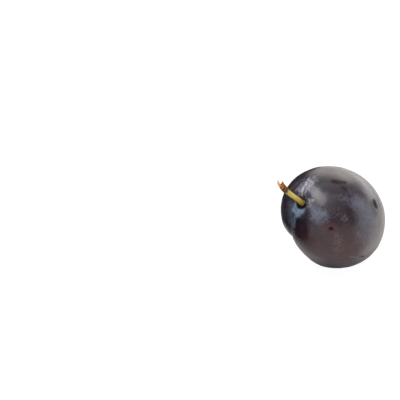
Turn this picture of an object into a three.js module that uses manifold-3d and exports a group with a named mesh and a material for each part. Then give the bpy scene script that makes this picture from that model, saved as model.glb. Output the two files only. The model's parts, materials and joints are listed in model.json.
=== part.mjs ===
// A blue European plum as picked: one fruit, and the stalk that stands in its hollow.
// It lies on its side on a small flat spot, with the stalk end raised.
// Units are millimetres. +Z is up, +X is the level direction that the stalk end faces,
// and the origin is the middle of the flat spot.

import * as THREE from "three";
import { mergeVertices } from "three/addons/utils/BufferGeometryUtils.js";
import Module from "manifold-3d";

const wasm = await Module();
wasm.setup();

// The fruit's own frame: +Y runs along its long axis to the stalk, +X faces the groove,
// and +Z faces one cheek. These are its half sizes from the middle of the body.
const STALK_END = 26.6;
const TIP_END = 24.3;
const GROOVE_SIDE = 19.9;
const BACK_SIDE = 21.3;
const CHEEK_SIDE = 22.2;

// The groove, or suture: a broad valley with a fine crease along its middle.
const VALLEY_DEPTH = 1.6;
const VALLEY_ANGLE = 0.28; // radians round the fruit
const CREASE_DEPTH = 0.55;
const CREASE_ANGLE = 0.07;
const GROOVE_BEND = 0.3; // radians that it swerves towards -Z on its way up to the stalk
const GROOVE_BEND_POLAR = 0.6; // where it swerves most, as an angle down from the stalk end
const GROOVE_BEND_SPREAD = 0.5;

// The hollow at the stalk end: a gentle funnel with a steep oval pit in the middle. The whole end
// leans a little off the axis, in X and Z, and the pit is longer that way.
const HOLLOW_LEAN = new THREE.Vector2(0.5, -0.9);
const HOLLOW_LEAN_ANGLE = 0.9; // the polar angle at which most of the lean has faded
const FUNNEL_DEPTH = 1.5;
const FUNNEL_RADIUS = 5.2;
const PIT_DEPTH = 2.2;
const PIT_RADIUS = 2.15;
const PIT_STRETCH = 1.2; // its length over its width
const PIT_WALL = 0.36; // how far the pit's wall spreads, in from and out from its radius

// The dimple that the flower leaves at the tip.
const TIP_DIMPLE_DEPTH = 0.5;
const TIP_DIMPLE_RADIUS = 1.8;

// How the fruit lies.
const AXIS_RISE = THREE.MathUtils.degToRad(37.1); // the long axis above the level
const GROOVE_ROLL = THREE.MathUtils.degToRad(28.5); // the groove's turn from straight below
const SAG = 2; // how far the ripe flesh swells below the fruit's weight
const SAG_ANGLE = 0.4;
const SAG_WAY = new THREE.Vector3(0.22, -0.13, -1); // from the fruit's middle, in the part's own frame
const FLAT_DEPTH = 0.9; // skin pressed flat under the fruit's own weight

// The stalk. Its centre line stands up from the floor of the pit, almost along the fruit's axis,
// and turns away from the groove at the knuckle. Its points are offsets from its foot.
const STALK_LINE = [
  new THREE.Vector3(0, 0, 0),
  new THREE.Vector3(-0.05, 1.5, 0),
  new THREE.Vector3(-0.5, 7.1, 0.8),
  new THREE.Vector3(-0.75, 12.4, 1.6),
  new THREE.Vector3(-1.2, 15, 2),
  new THREE.Vector3(-1.9, 17.1, 2.4),
];
const STALK_RADIUS = 1.12;
const STALK_FOOT_RADIUS = 1.35;
const STALK_FOOT_HEIGHT = 1.3; // how far up the foot tapers
const STALK_NECK_RADIUS = 1.02;
const STALK_NECK_MIDDLE = 7.3; // along the stalk
const STALK_NECK_SPREAD = 4;
const KNUCKLE_RADIUS = 1.3; // the corky end that sat on the twig
const KNUCKLE_START = 12.6; // along the stalk
const KNUCKLE_SWELL = 1.2; // the length over which the stalk swells to the knuckle
const STALK_CLEARANCE = 0.3; // between its foot and the floor of the pit
const BREAK_SLANT = THREE.MathUtils.degToRad(45); // the broken end's slope, facing the groove's side
const SLIVER_RADIUS = 0.5; // the strip of bark that the break leaves standing
const SLIVER_ROOT = 13.4; // along the stalk, where it is still sunk in the knuckle
const SLIVER_REACH = 2; // how far it stands past the stalk's end
const SLIVER_TIP_SHARE = 0.45; // its radius at the tip, as a share of its radius at the root

// Mesh steps.
const AROUND_STEPS = 72;
const GROOVE_CROWDING = 0.6; // how much closer the steps round the fruit stand at the groove
const HOLLOW_RINGS = 12;
const BODY_RINGS = 30;
const HOLLOW_POLAR = 0.3; // the polar angle at which the hollow's finer rings end
const STALK_SIDES = 14;
const STALK_RINGS = 30;
const SLIVER_SIDES = 8;
const SLIVER_RINGS = 8;

// How the fruit lies: its long axis rises, and its groove has rolled a little off the lowest line.
const longAxis = new THREE.Vector3(Math.cos(AXIS_RISE), 0, Math.sin(AXIS_RISE));
const belowAxis = new THREE.Vector3(Math.sin(AXIS_RISE), 0, -Math.cos(AXIS_RISE));
const grooveWay = belowAxis.clone().applyAxisAngle(longAxis, -GROOVE_ROLL);
const cheekWay = new THREE.Vector3().crossVectors(grooveWay, longAxis);
const lying = new THREE.Matrix4().makeBasis(grooveWay, longAxis, cheekWay);
const straightDown = new THREE.Vector3(0, 0, -1).transformDirection(lying.clone().invert());
const sagWay = SAG_WAY.clone().transformDirection(lying.clone().invert());

const bump = (distance, width) => Math.exp(-((distance / width) ** 2));

// A three.js geometry as a manifold-3d solid.
function solidFrom(geometry) {
  const bare = geometry.clone();
  bare.deleteAttribute("normal");
  bare.deleteAttribute("uv");
  const merged = mergeVertices(bare, 1e-4);
  return new wasm.Manifold(
    new wasm.Mesh({
      numProp: 3,
      vertProperties: new Float32Array(merged.attributes.position.array),
      triVerts: new Uint32Array(merged.index.array),
    }),
  );
}

// A manifold-3d solid as a three.js geometry.
function geometryFrom(solid) {
  const mesh = solid.getMesh();
  const geometry = new THREE.BufferGeometry();
  geometry.setAttribute("position", new THREE.BufferAttribute(mesh.vertProperties, 3));
  geometry.setIndex(new THREE.BufferAttribute(mesh.triVerts, 1));
  geometry.computeVertexNormals();
  return geometry;
}

// How far the hollow sinks the skin, at an offset in X and Z from the hollow's middle.
function hollowDepth(x, z) {
  const lengthWay = HOLLOW_LEAN.clone().normalize();
  const lengthwise = (x * lengthWay.x + z * lengthWay.y) / PIT_STRETCH;
  const widthwise = x * lengthWay.y - z * lengthWay.x;
  const radius = Math.hypot(lengthwise, widthwise);
  const pit = 1 / (1 + Math.exp((radius - PIT_RADIUS) / (PIT_WALL / 2)));
  return FUNNEL_DEPTH * bump(Math.hypot(x, z), FUNNEL_RADIUS) + PIT_DEPTH * pit;
}

// A point of the skin. polar is 0 at the stalk end and PI at the tip, and around is 0 on the groove.
function skinPoint(polar, around) {
  const across = Math.sin(polar);
  const turn = around - GROOVE_BEND * bump(polar - GROOVE_BEND_POLAR, GROOVE_BEND_SPREAD);
  const facing = (1 + Math.cos(turn)) / 2; // 1 on the groove's side, 0 on the back
  const depth = THREE.MathUtils.lerp(BACK_SIDE, GROOVE_SIDE, facing);
  const x = depth * Math.cos(turn) * across;
  const z = CHEEK_SIDE * Math.sin(turn) * across;
  const radius = Math.hypot(x, z);
  const valley = VALLEY_DEPTH * bump(around, VALLEY_ANGLE) + CREASE_DEPTH * bump(around, CREASE_ANGLE);
  const inward = radius > 0 ? 1 - (valley * across ** 2) / radius : 1;
  const along = Math.cos(polar);
  const y =
    along > 0
      ? STALK_END * along - hollowDepth(x, z)
      : TIP_END * along + TIP_DIMPLE_DEPTH * bump(radius, TIP_DIMPLE_RADIUS);
  const lean = bump(polar, HOLLOW_LEAN_ANGLE);
  const point = new THREE.Vector3(x * inward + HOLLOW_LEAN.x * lean, y, z * inward + HOLLOW_LEAN.y * lean);
  return point.addScaledVector(straightDown, SAG * bump(point.angleTo(sagWay), SAG_ANGLE));
}

// The whole fruit before its flat spot, still in its own frame. A lathed ball gives the rings,
// which stand closer together in the hollow, and each of its points is moved out to the skin.
function fruitBody() {
  const rings = [];
  for (let i = 0; i <= HOLLOW_RINGS; i += 1) {
    rings.push((HOLLOW_POLAR * i) / HOLLOW_RINGS);
  }
  for (let i = 1; i <= BODY_RINGS; i += 1) {
    rings.push(HOLLOW_POLAR + ((Math.PI - HOLLOW_POLAR) * i) / BODY_RINGS);
  }
  const profile = rings.map((polar) => new THREE.Vector2(Math.sin(polar), Math.cos(polar)));
  profile[0].x = 0;
  profile[profile.length - 1].x = 0;
  const ball = new THREE.LatheGeometry(profile.reverse(), AROUND_STEPS);
  const position = ball.attributes.position;
  const point = new THREE.Vector3();
  for (let i = 0; i < position.count; i += 1) {
    point.fromBufferAttribute(position, i);
    const polar = Math.atan2(Math.hypot(point.x, point.z), point.y);
    const even = Math.atan2(point.z, point.x);
    const around = even - GROOVE_CROWDING * Math.sin(even);
    const moved = skinPoint(polar, around);
    position.setXYZ(i, moved.x, moved.y, moved.z);
  }
  return ball;
}

// The stalk's centre line, in the fruit's frame. It leaves the pit square to its floor.
function stalkLine() {
  const floor = STALK_END - hollowDepth(0, 0);
  const foot = new THREE.Vector3(HOLLOW_LEAN.x, floor + STALK_CLEARANCE, HOLLOW_LEAN.y);
  return new THREE.CatmullRomCurve3(STALK_LINE.map((offset) => offset.clone().add(foot)));
}

// The stalk's thickness along its length: a foot, a slim neck, and the corky knuckle at the end.
function stalkRadius(along) {
  const foot = (STALK_FOOT_RADIUS - STALK_RADIUS) * bump(along, STALK_FOOT_HEIGHT);
  const neck = (STALK_NECK_RADIUS - STALK_RADIUS) * bump(along - STALK_NECK_MIDDLE, STALK_NECK_SPREAD);
  const swell = THREE.MathUtils.smoothstep(along, KNUCKLE_START - KNUCKLE_SWELL, KNUCKLE_START);
  return STALK_RADIUS + foot + neck + (KNUCKLE_RADIUS - STALK_RADIUS) * swell;
}

// A round rod along a curve, with its radius given by a function of the length along it.
function taperedRod(curve, radiusAt, sides, ringCount) {
  const length = curve.getLength();
  const profile = [new THREE.Vector2(0, 0)];
  for (let i = 0; i <= ringCount; i += 1) {
    const along = (length * i) / ringCount;
    profile.push(new THREE.Vector2(radiusAt(along), along));
  }
  profile.push(new THREE.Vector2(0, length));
  const rod = new THREE.LatheGeometry(profile, sides);
  const frames = curve.computeFrenetFrames(ringCount * 4, false);
  const position = rod.attributes.position;
  const point = new THREE.Vector3();
  for (let i = 0; i < position.count; i += 1) {
    point.fromBufferAttribute(position, i);
    const share = THREE.MathUtils.clamp(point.y / length, 0, 1);
    const frame = Math.round(share * ringCount * 4);
    const moved = curve
      .getPointAt(share)
      .addScaledVector(frames.binormals[frame], point.x)
      .addScaledVector(frames.normals[frame], point.z);
    position.setXYZ(i, moved.x, moved.y, moved.z);
  }
  return rod;
}

// The stalk, with its slanted break and the strip of bark beside it.
function stalkBody() {
  const line = stalkLine();
  const rod = solidFrom(taperedRod(line, stalkRadius, STALK_SIDES, STALK_RINGS));
  const end = line.getPointAt(1);
  const forward = line.getTangentAt(1);
  const grooveSide = new THREE.Vector3(1, 0, 0);
  grooveSide.addScaledVector(forward, -grooveSide.dot(forward)).normalize();
  const slanted = new THREE.Vector3()
    .addScaledVector(forward, Math.cos(BREAK_SLANT))
    .addScaledVector(grooveSide, Math.sin(BREAK_SLANT));

  // The block that takes the end away has its lower face on the slanted plane.
  const blockSize = line.getLength();
  const block = new THREE.BoxGeometry(blockSize, blockSize, blockSize);
  block.translate(0, 0, blockSize / 2);
  block.applyQuaternion(new THREE.Quaternion().setFromUnitVectors(new THREE.Vector3(0, 0, 1), slanted));
  const breakPoint = end.clone().addScaledVector(forward, -KNUCKLE_RADIUS * Math.tan(BREAK_SLANT));
  block.translate(breakPoint.x, breakPoint.y, breakPoint.z);

  // The strip of bark starts inside the knuckle, on the groove's side, and curls over the break.
  const root = line
    .getPointAt(SLIVER_ROOT / line.getLength())
    .addScaledVector(grooveSide, KNUCKLE_RADIUS - SLIVER_RADIUS);
  const middle = end.clone().addScaledVector(grooveSide, KNUCKLE_RADIUS - SLIVER_RADIUS);
  const tip = end.clone().addScaledVector(forward, SLIVER_REACH);
  const sliverLine = new THREE.CatmullRomCurve3([root, middle, tip]);
  const sliverLength = sliverLine.getLength();
  const thinning = 1 - SLIVER_TIP_SHARE;
  const sliverRadius = (along) => SLIVER_RADIUS * (1 - thinning * (along / sliverLength) ** 2);
  const sliver = solidFrom(taperedRod(sliverLine, sliverRadius, SLIVER_SIDES, SLIVER_RINGS));
  return rod.subtract(solidFrom(block)).add(sliver);
}

// The level of a point of the fruit's own frame, once the fruit lies.
const levelOf = (point) => point.clone().applyMatrix4(lying).z;

// Every point of a geometry.
function pointsOf(geometry) {
  const position = geometry.attributes.position;
  return Array.from({ length: position.count }, (_, i) =>
    new THREE.Vector3().fromBufferAttribute(position, i),
  );
}

// The skin under the fruit is cut flat at the surface that it rests on.
const roundFruit = fruitBody();
const surfaceLevel = Math.min(...pointsOf(roundFruit).map(levelOf)) + FLAT_DEPTH;
const groundSize = 4 * STALK_END;
const ground = new THREE.BoxGeometry(groundSize, groundSize, groundSize);
ground.translate(0, 0, surfaceLevel - groundSize / 2);
ground.applyMatrix4(lying.clone().invert());
const fruitGeometry = geometryFrom(solidFrom(roundFruit).subtract(solidFrom(ground)));

// The middle of the flat spot, which the part's origin stands on.
const flatPoints = pointsOf(fruitGeometry).filter((point) => levelOf(point) < surfaceLevel + 1e-3);
const flatSpot = new THREE.Box3().setFromPoints(flatPoints.map((point) => point.applyMatrix4(lying)));
const flatMiddle = flatSpot.getCenter(new THREE.Vector3());

const skin = new THREE.MeshStandardMaterial({ color: 0x2b2230, roughness: 0.38, metalness: 0 });
const greenWood = new THREE.MeshStandardMaterial({ color: 0xc4b04a, roughness: 0.6, metalness: 0 });

const fruit = new THREE.Mesh(fruitGeometry, skin);
fruit.name = "fruit";
const stalk = new THREE.Mesh(geometryFrom(stalkBody()), greenWood);
stalk.name = "stalk";

const plum = new THREE.Group();
plum.add(fruit, stalk);
plum.quaternion.setFromRotationMatrix(lying);
plum.position.set(-flatMiddle.x, -flatMiddle.y, -surfaceLevel);

export default plum;
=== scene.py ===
# %% [markdown]
# A ripe blue plum, lying on a white surface.
#
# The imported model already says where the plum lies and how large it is. This lesson gives it its
# finished skin, its groove, the stalk in its hollow, and the waxy bloom that fingers have rubbed.
# It works in metres, with +Z up, and the origin is the middle of the spot that the plum rests on.

# %% The frame
import json
import math

import bmesh
import bpy
import numpy as np
from mathutils import Matrix, Vector
from mathutils.bvhtree import BVHTree

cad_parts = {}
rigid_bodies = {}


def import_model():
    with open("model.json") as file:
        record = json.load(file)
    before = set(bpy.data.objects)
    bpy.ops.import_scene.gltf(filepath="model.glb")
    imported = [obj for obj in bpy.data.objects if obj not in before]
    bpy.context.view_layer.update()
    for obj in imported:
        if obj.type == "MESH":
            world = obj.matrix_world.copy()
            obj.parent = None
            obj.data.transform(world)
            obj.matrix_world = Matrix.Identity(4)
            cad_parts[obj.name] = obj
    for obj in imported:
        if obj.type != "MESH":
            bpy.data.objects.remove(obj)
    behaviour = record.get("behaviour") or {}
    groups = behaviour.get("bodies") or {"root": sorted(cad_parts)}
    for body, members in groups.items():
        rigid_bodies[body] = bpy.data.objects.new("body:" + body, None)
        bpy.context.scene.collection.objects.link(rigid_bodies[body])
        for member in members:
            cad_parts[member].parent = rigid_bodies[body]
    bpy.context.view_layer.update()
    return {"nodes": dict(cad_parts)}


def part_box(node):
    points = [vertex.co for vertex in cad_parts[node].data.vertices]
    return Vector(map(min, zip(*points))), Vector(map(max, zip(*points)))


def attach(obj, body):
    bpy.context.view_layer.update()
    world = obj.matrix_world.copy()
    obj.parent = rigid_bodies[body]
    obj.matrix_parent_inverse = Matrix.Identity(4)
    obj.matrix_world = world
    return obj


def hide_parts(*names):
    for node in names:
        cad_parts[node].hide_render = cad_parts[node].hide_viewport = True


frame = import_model()
MM = 0.001
cad_fruit = frame["nodes"]["fruit"]

# %% [markdown]
# The camera comes first, because marks on the skin are later placed by where the photograph shows
# them. The photograph looks down on the plum by 28 degrees, and shows the plum low at the right of
# a square frame. The lens could be shifted for that, but a plain camera is simpler to read. So the
# camera is turned, without rolling, until the plum's middle falls on its pixel.

# %% The camera
FRAME_PIXELS = 400
FOCAL_PIXELS = 1279
SENSOR_WIDTH = 36.0
CAMERA_AZIMUTH = math.radians(131.9)
CAMERA_RISE = math.radians(28)
CAMERA_DISTANCE = 550 * MM
FRUIT_PIXEL = (332.2, 216.7)

fruit_low, fruit_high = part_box("fruit")
fruit_centre = (fruit_low + fruit_high) / 2
to_camera = Vector((
    math.sin(CAMERA_AZIMUTH) * math.cos(CAMERA_RISE),
    -math.cos(CAMERA_AZIMUTH) * math.cos(CAMERA_RISE),
    math.sin(CAMERA_RISE),
))
pixel_right = (FRUIT_PIXEL[0] - FRAME_PIXELS / 2) / FOCAL_PIXELS
pixel_up = (FRAME_PIXELS / 2 - FRUIT_PIXEL[1]) / FOCAL_PIXELS
ray_length = math.sqrt(1 + pixel_right**2 + pixel_up**2)
tilt = math.asin(math.sin(CAMERA_RISE) * ray_length / math.hypot(1, pixel_up)) + math.atan(pixel_up)
turn = CAMERA_AZIMUTH + math.atan2(pixel_right, math.cos(tilt) + pixel_up * math.sin(tilt))

camera_data = bpy.data.cameras.new("view_camera")
camera_data.sensor_width = SENSOR_WIDTH
camera_data.lens = FOCAL_PIXELS * SENSOR_WIDTH / FRAME_PIXELS
camera = bpy.data.objects.new("view_camera", camera_data)
bpy.context.scene.collection.objects.link(camera)
camera.location = fruit_centre + to_camera * CAMERA_DISTANCE
camera.rotation_euler = (math.pi / 2 - tilt, 0, turn)
bpy.context.scene.camera = camera
bpy.context.view_layer.update()
print("camera at", [round(c / MM, 1) for c in camera.location], "lens", round(camera_data.lens, 1))


def ray_through(pixel):
    """The direction in which the camera sees a pixel of the square photograph."""
    across = (pixel[0] - FRAME_PIXELS / 2) / FOCAL_PIXELS
    up = (FRAME_PIXELS / 2 - pixel[1]) / FOCAL_PIXELS
    return (camera.matrix_world.to_3x3() @ Vector((across, up, -1))).normalized()


# %% [markdown]
# The fruit is easiest to shape while it stands upright like a pot on a wheel: its stalk end up, and
# its groove towards +X. A matrix lays it down afterwards. Its long axis then rises by 37 degrees, and
# the groove has rolled a little off the lowest line.

# %% How the fruit lies
AXIS_RISE = math.radians(37.1)
GROOVE_ROLL = math.radians(28.5)
FRUIT_MIDDLE = Vector((1.020, -1.025, 21.977)) * MM

long_way = Vector((math.cos(AXIS_RISE), 0, math.sin(AXIS_RISE)))
below_way = Vector((math.sin(AXIS_RISE), 0, -math.cos(AXIS_RISE)))
groove_way = Matrix.Rotation(-GROOVE_ROLL, 3, long_way) @ below_way
side_way = long_way.cross(groove_way)
lying = Matrix((groove_way, side_way, long_way)).transposed().to_4x4()
lying.translation = FRUIT_MIDDLE
print("the groove faces", [round(c, 2) for c in groove_way])


def points(piece):
    """Every vertex of a piece, as rows of an array."""
    flat = np.empty(len(piece.data.vertices) * 3, np.float32)
    piece.data.vertices.foreach_get("co", flat)
    return flat.reshape(-1, 3)


def leave_edit_mode():
    """Goes back to object mode, where it isn't yet."""
    if bpy.context.mode != "OBJECT":
        bpy.ops.object.mode_set(mode="OBJECT")


def pick(piece, chosen):
    """Leaves only the chosen vertices of a piece selected, in edit mode."""
    leave_edit_mode()
    mesh = piece.data
    mesh.polygons.foreach_set("select", np.zeros(len(mesh.polygons), bool))
    mesh.edges.foreach_set("select", np.zeros(len(mesh.edges), bool))
    mesh.vertices.foreach_set("select", np.ascontiguousarray(chosen))
    bpy.ops.object.mode_set(mode="EDIT")
    bpy.ops.mesh.select_mode(type="VERT")


def alone(piece):
    """Makes a piece the only selected object."""
    leave_edit_mode()
    bpy.ops.object.select_all(action="DESELECT")
    piece.select_set(True)
    bpy.context.view_layer.objects.active = piece


def lay_down(piece):
    """Lays an upright piece down in its place, and leaves its object at the origin."""
    alone(piece)
    piece.matrix_world = lying @ piece.matrix_world
    bpy.ops.object.transform_apply(location=True, rotation=True, scale=True)


# %% [markdown]
# A plum could be a stretched ball, but the pit round the stalk is steep and small, and the groove is
# fine. So the skin is drawn out ring by ring from the floor of the pit, over the hollow's rim and down
# to the tip. The rings stand close together where the shape turns sharply. Each ring is also turned a
# little, because the groove swerves as it reaches the hollow, and moved a little, because the stalk
# end leans. Before that, the first ring's points are combed towards the groove.

# %% The fruit's rings
STALK_END = 26.6
TIP_END = 24.3
MEAN_SIDE = 21.4
HOLLOW_LEAN = Vector((0.5, 0.9))
HOLLOW_LEAN_ANGLE = 0.9
GROOVE_BEND = 0.3
GROOVE_BEND_POLAR = 0.6
GROOVE_BEND_SPREAD = 0.5
FUNNEL_DEPTH = 1.5
FUNNEL_RADIUS = 5.2
PIT_DEPTH = 2.2
PIT_RADIUS = 2.15
PIT_WALL = 0.36
AROUND = 192
COMBING = 0.45
HOLLOW_RADII = [0.5, 0.95, 1.3, 1.55, 1.75, 1.9, 2.02, 2.14, 2.26, 2.4, 2.56, 2.78]
HOLLOW_RADII += [3.1, 3.5, 4, 4.6, 5.3, 6.1, 7]
BODY_RINGS = 70


def bump(distance, width):
    """A smooth hill: 1 at no distance, and almost 0 two widths away."""
    return np.exp(-((distance / width) ** 2))


def ring_at(polar):
    """A ring's middle, half size and turn, in mm. The polar angle is 0 at the stalk end."""
    radius = MEAN_SIDE * math.sin(polar)
    lean = HOLLOW_LEAN * bump(polar, HOLLOW_LEAN_ANGLE)
    swerve = GROOVE_BEND * bump(polar - GROOVE_BEND_POLAR, GROOVE_BEND_SPREAD)
    height = TIP_END * math.cos(polar)
    if polar < math.pi / 2:
        pit = PIT_DEPTH / (1 + math.exp((radius - PIT_RADIUS) / (PIT_WALL / 2)))
        height = STALK_END * math.cos(polar) - FUNNEL_DEPTH * bump(radius, FUNNEL_RADIUS) - pit
    return Vector((*lean, height)), radius, swerve


polars = [math.asin(radius / MEAN_SIDE) for radius in HOLLOW_RADII]
body_step = (math.pi - polars[-1]) / BODY_RINGS
polars += [polars[-1] + body_step * (i + 1) for i in range(BODY_RINGS - 1)]
middle, radius, swerve = ring_at(polars[0])

bpy.ops.object.select_all(action="DESELECT")
bpy.ops.mesh.primitive_circle_add(
    vertices=AROUND, radius=radius * MM, fill_type="TRIFAN", location=(0, 0, 0)
)
fruit = bpy.context.object
fruit.name = "plum_fruit"
bpy.ops.object.mode_set(mode="EDIT")
first = points(fruit)
rim = np.hypot(first[:, 0], first[:, 1]) > radius * MM / 2
angles = np.arctan2(first[:, 1], first[:, 0])
for i in np.flatnonzero(rim):
    pick(fruit, np.arange(len(first)) == i)
    bpy.ops.transform.rotate(
        value=COMBING * math.sin(angles[i]), orient_axis="Z", center_override=(0, 0, 0)
    )
pick(fruit, np.ones(len(first), bool))
bpy.ops.transform.rotate(value=-swerve, orient_axis="Z", center_override=(0, 0, 0))
bpy.ops.transform.translate(value=middle * MM)
pick(fruit, rim)
for polar in polars[1:]:
    last_middle, last_radius, last_swerve = middle, radius, swerve
    middle, radius, swerve = ring_at(polar)
    bpy.ops.mesh.extrude_region_move(
        TRANSFORM_OT_translate={"value": (middle - last_middle) * MM}
    )
    growth = radius / last_radius
    centre = middle * MM
    bpy.ops.transform.resize(value=(growth, growth, 1), center_override=centre)
    bpy.ops.transform.rotate(
        value=last_swerve - swerve, orient_axis="Z", center_override=centre
    )
bpy.ops.mesh.extrude_region_move(TRANSFORM_OT_translate={"value": (0, 0, 0)})
bpy.ops.mesh.merge(type="CENTER")
leave_edit_mode()
print("the fruit's first shape has", len(fruit.data.vertices), "points, and its size in mm is",
      [round(c / MM, 1) for c in fruit.dimensions])

# %% [markdown]
# The pit is a little longer than it is wide. The whole end could be scaled, but then the fruit would no
# longer be round there. So the pit's rings are stretched one after another, less and less towards the
# funnel, and the oval fades out.

# %% The oval pit
PIT_STRETCH = 1.2
PIT_STRETCH_RADIUS = 3.4
RING_PICK = 0.02

pit_turn = math.atan2(HOLLOW_LEAN.y, HOLLOW_LEAN.x)
for polar in polars:
    middle, radius, swerve = ring_at(polar)
    past_pit = max(radius - PIT_RADIUS, 0)
    stretch = 1 + (PIT_STRETCH - 1) * bump(past_pit, PIT_STRETCH_RADIUS - PIT_RADIUS)
    if radius > 2 * PIT_STRETCH_RADIUS:
        break
    offset = points(fruit) - np.array(middle * MM)
    off_radius = np.abs(np.hypot(offset[:, 0], offset[:, 1]) - radius * MM)
    off_height = np.abs(offset[:, 2])
    pick(fruit, (off_radius < RING_PICK * MM) & (off_height < RING_PICK * MM))
    centre = middle * MM
    bpy.ops.transform.rotate(value=pit_turn, orient_axis="Z", center_override=centre)
    bpy.ops.transform.resize(value=(stretch, 1, 1), center_override=centre)
    bpy.ops.transform.rotate(value=-pit_turn, orient_axis="Z", center_override=centre)
leave_edit_mode()
print("the pit is", PIT_STRETCH, "times as long as it is wide")

# %% [markdown]
# Ripe flesh sags over the spot that it rests on, and the groove is a broad valley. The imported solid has
# both, so the laid down skin is wrapped onto it along its own normals, all but the pit, where the rings
# are finer than the solid. A few passes of smoothing take the solid's facets out again.

# %% The skin meets the solid
WRAP_FADE = (3.2, 5.5)
SMOOTHING_PASSES = 5

upright = points(fruit)
from_pit = np.hypot(upright[:, 0] - HOLLOW_LEAN.x * MM, upright[:, 1] - HOLLOW_LEAN.y * MM) / MM
wrap_share = np.clip((from_pit - WRAP_FADE[0]) / (WRAP_FADE[1] - WRAP_FADE[0]), 0, 1)
wrap_share[upright[:, 2] < 0] = 1
body = wrap_share > 0.5
lay_down(fruit)


def share_out(piece, group_name, shares):
    """Writes a share from 0 to 1 for each vertex to a new vertex group."""
    group = piece.vertex_groups.new(name=group_name)
    for i, share in enumerate(shares):
        group.add([i], float(share), "REPLACE")


def finish_with(piece, kind, **settings):
    """Adds one modifier to a piece, sets it and applies it."""
    alone(piece)
    modifier = piece.modifiers.new(kind.lower(), kind)
    for name, value in settings.items():
        setattr(modifier, name, value)
    bpy.ops.object.modifier_apply(modifier=modifier.name)


share_out(fruit, "wrapped", wrap_share)
finish_with(
    fruit,
    "SHRINKWRAP",
    target=cad_fruit,
    wrap_method="PROJECT",
    use_negative_direction=True,
    use_positive_direction=True,
    vertex_group="wrapped",
)
pick(fruit, body)
bpy.ops.mesh.vertices_smooth(factor=0.5, repeat=SMOOTHING_PASSES)
leave_edit_mode()
wrapped_size = [round(c / MM, 2) for c in fruit.dimensions]
print("the wrapped skin's size in mm:", wrapped_size)

# %% [markdown]
# The crease in the middle of the groove is finer than the solid has it. It could be sculpted, but its
# line is already known, because it follows the groove's swerve. So a vertex group is strongest on the
# crease and fades to both sides, and Displace pushes the skin in by it. A second group keeps the slow
# swellings of a real fruit off the flat spot and out of the pit.

# %% The crease and the skin's slow swellings
CREASE_DEPTH = 0.3
CREASE_ANGLE = 0.035
CREASE_START = 0.16
CREASE_FADE = 0.35
SWELLING_HEIGHT = 0.34
SWELLING_SIZE = 8
FLAT_KEEP = (0.24, 1.44)
LEAST_SHARE = 0.01

laid = points(fruit)
own = (laid - np.array(FRUIT_MIDDLE)) @ np.array((groove_way, side_way, long_way)).T / MM
radial = np.hypot(own[:, 0], own[:, 1])
polar_of = np.arctan2(radial / MEAN_SIDE, own[:, 2] / np.where(own[:, 2] > 0, STALK_END, TIP_END))
lean_of = bump(polar_of, HOLLOW_LEAN_ANGLE)
swerve_of = GROOVE_BEND * bump(polar_of - GROOVE_BEND_POLAR, GROOVE_BEND_SPREAD)
from_middle = own[:, :2] - np.outer(lean_of, np.array(HOLLOW_LEAN))
around = np.arctan2(from_middle[:, 1], from_middle[:, 0]) - swerve_of
off_the_ends = np.clip((np.sin(polar_of) - CREASE_START) / CREASE_FADE, 0, 1)
crease_share = bump(around, CREASE_ANGLE) * off_the_ends
over_the_flat = (laid[:, 2] / MM - FLAT_KEEP[0]) / (FLAT_KEEP[1] - FLAT_KEEP[0])
swell_share = np.clip(over_the_flat, 0, 1) * wrap_share
crease_share[crease_share < LEAST_SHARE] = 0


def raise_clouds(piece, group_name, size, height):
    """Raises and sinks a piece by soft clouds, as far as its vertex group says. Sizes are in mm."""
    texture = bpy.data.textures.new(group_name + "_clouds", "CLOUDS")
    texture.noise_scale = size * MM
    finish_with(
        piece,
        "DISPLACE",
        texture=texture,
        texture_coords="LOCAL",
        strength=height * MM,
        mid_level=0.5,
        vertex_group=group_name,
    )


share_out(fruit, "crease", crease_share)
share_out(fruit, "swelling", swell_share)
finish_with(fruit, "DISPLACE", strength=-CREASE_DEPTH * MM, mid_level=0, vertex_group="crease")
raise_clouds(fruit, "swelling", SWELLING_SIZE, SWELLING_HEIGHT)
pick(fruit, np.ones(len(laid), bool))
bpy.ops.mesh.subdivide(number_cuts=1, smoothness=1)
bpy.ops.mesh.vertices_smooth(factor=0.5, repeat=1)
leave_edit_mode()
print("the fruit now has", len(fruit.data.polygons), "faces")

# %% [markdown]
# Some marks have a real shape: old scars, a small knock, a fly's sting. Paint alone would leave them
# flat where the light grazes them. Each is found where the camera's ray through its pixel meets the
# skin. One point there is picked and moved with proportional editing, which draws the skin round it
# along in a soft hill or dent. The flat spot is pressed level again at the end.

# %% Marks that have a shape


def skin_tree():
    """A search tree of the fruit's faces as they are now."""
    shape = bmesh.new()
    shape.from_mesh(fruit.data)
    tree = BVHTree.FromBMesh(shape)
    shape.free()
    return tree


tree = skin_tree()


def on_skin(pixel):
    """The point of the skin that the photograph shows at a pixel, or the nearest one past the outline."""
    way = ray_through(pixel)
    hit = tree.ray_cast(camera.location, way)[0]
    return hit or tree.find_nearest(camera.location + way * CAMERA_DISTANCE)[0]


FLAT_SPOT_PICK = 0.05
# Each mark is its pixel, its height in mm and the radius of skin that follows it.
MARKS = {
    "knock": ((375.2, 203.8), -0.75, 2.3),
    "scar_at_the_right": ((378.6, 242.6), 0.22, 1.1),
    "scar_below": ((361, 256.6), 0.25, 1.3),
    "sting": ((331, 228.5), -0.3, 1.0),
}
for name, (pixel, height, reach) in MARKS.items():
    place = on_skin(pixel)
    outward = (place - fruit_centre).normalized()
    distances = np.linalg.norm(points(fruit) - np.array(place), axis=1)
    pick(fruit, distances == distances.min())
    bpy.ops.transform.translate(
        value=outward * height * MM,
        use_proportional_edit=True,
        proportional_edit_falloff="SMOOTH",
        proportional_size=reach * MM,
    )
    print(name, "at", [round(c / MM, 1) for c in place])

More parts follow.
